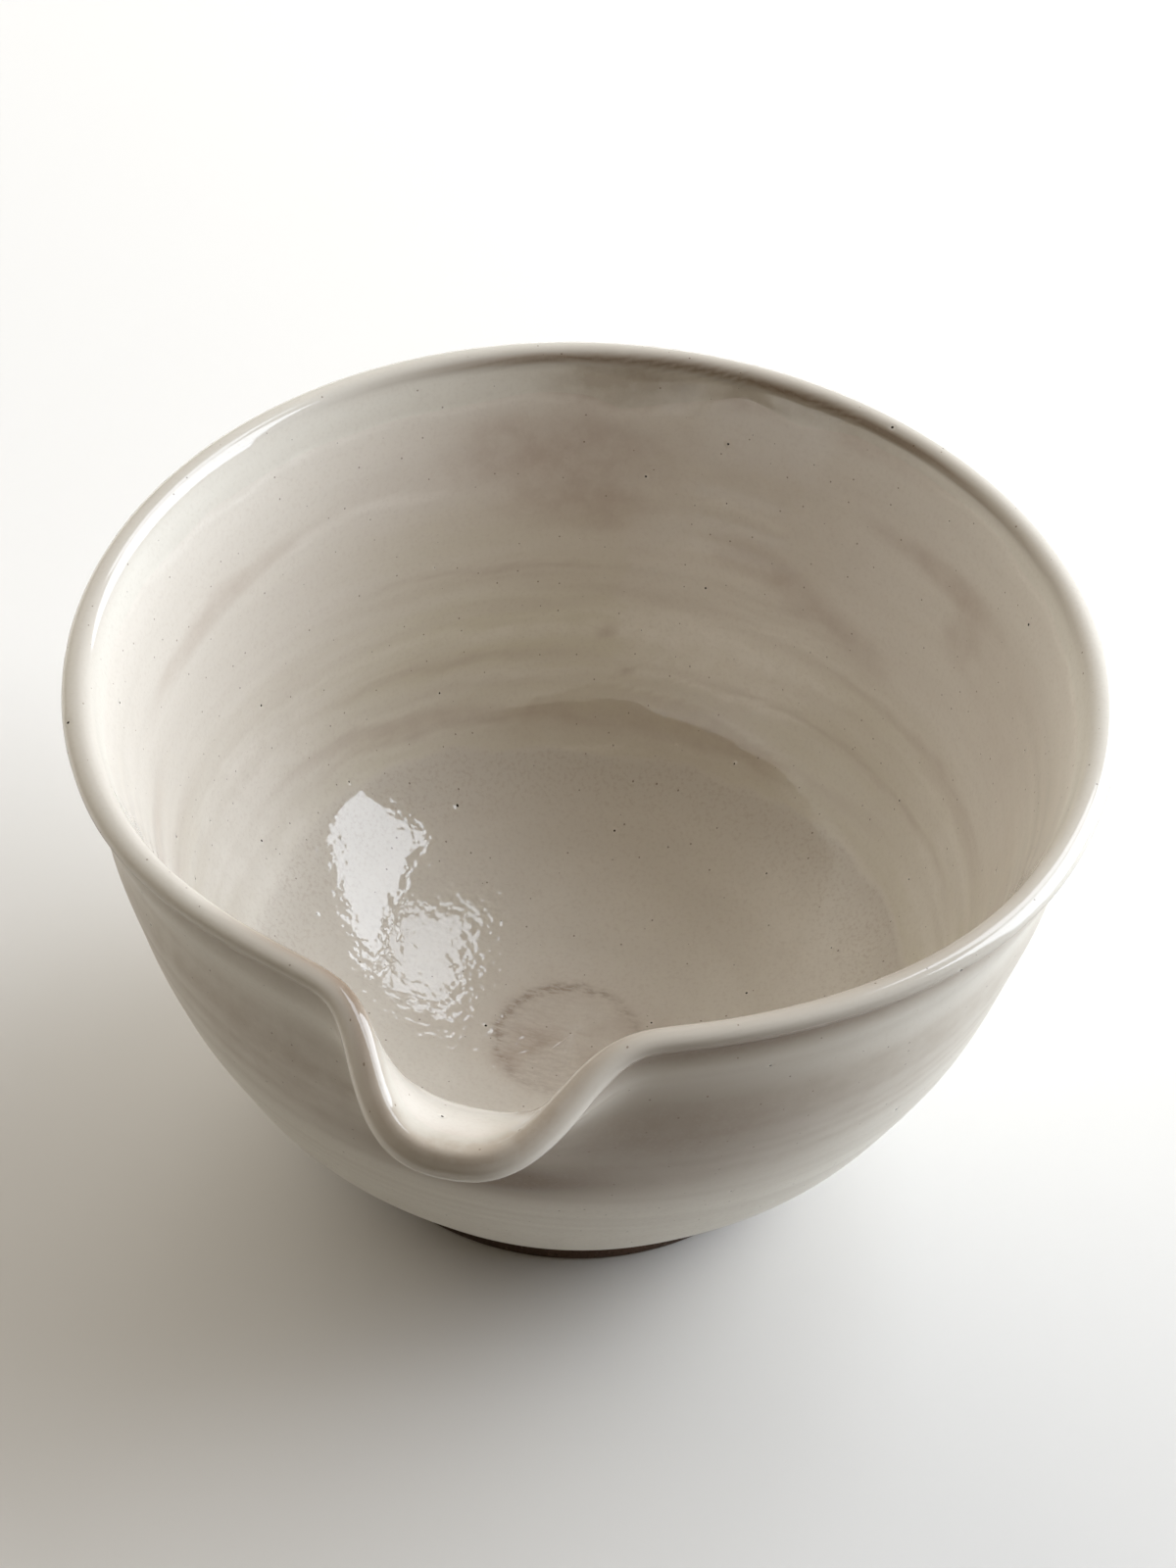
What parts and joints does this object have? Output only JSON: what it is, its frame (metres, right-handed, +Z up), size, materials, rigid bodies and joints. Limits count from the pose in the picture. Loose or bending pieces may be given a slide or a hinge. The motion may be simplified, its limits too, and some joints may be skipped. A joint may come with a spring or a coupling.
{
  "type": "spouted matcha bowl",
  "caption": "Deep round stoneware bowl with a pulled pouring spout in its rim, a milky glaze inside and out and a bare turned foot ring, for whisking and pouring tea.",
  "frame": {"origin": "on the table under the middle of the bowl's outline, spout included", "axes": "+Z up through the mouth, the spout points towards -Y, +X is on the right of someone who looks along +Y"},
  "size_m": [0.1238, 0.1346, 0.0722],
  "materials": {
    "stoneware": "bare fired clay, matt and slightly grainy",
    "poured_glaze": "glossy milky glaze with throwing rings, pour marks and fine iron specks",
    "dipped_glaze": "glossy milky glaze, thinner and warmer over the rim"
  },
  "bodies": {
    "root": {"clay_bowl": "stoneware", "foot_ring": "stoneware", "inner_glaze": "poured_glaze", "outer_glaze": "dipped_glaze"}
  },
  "joints": []
}
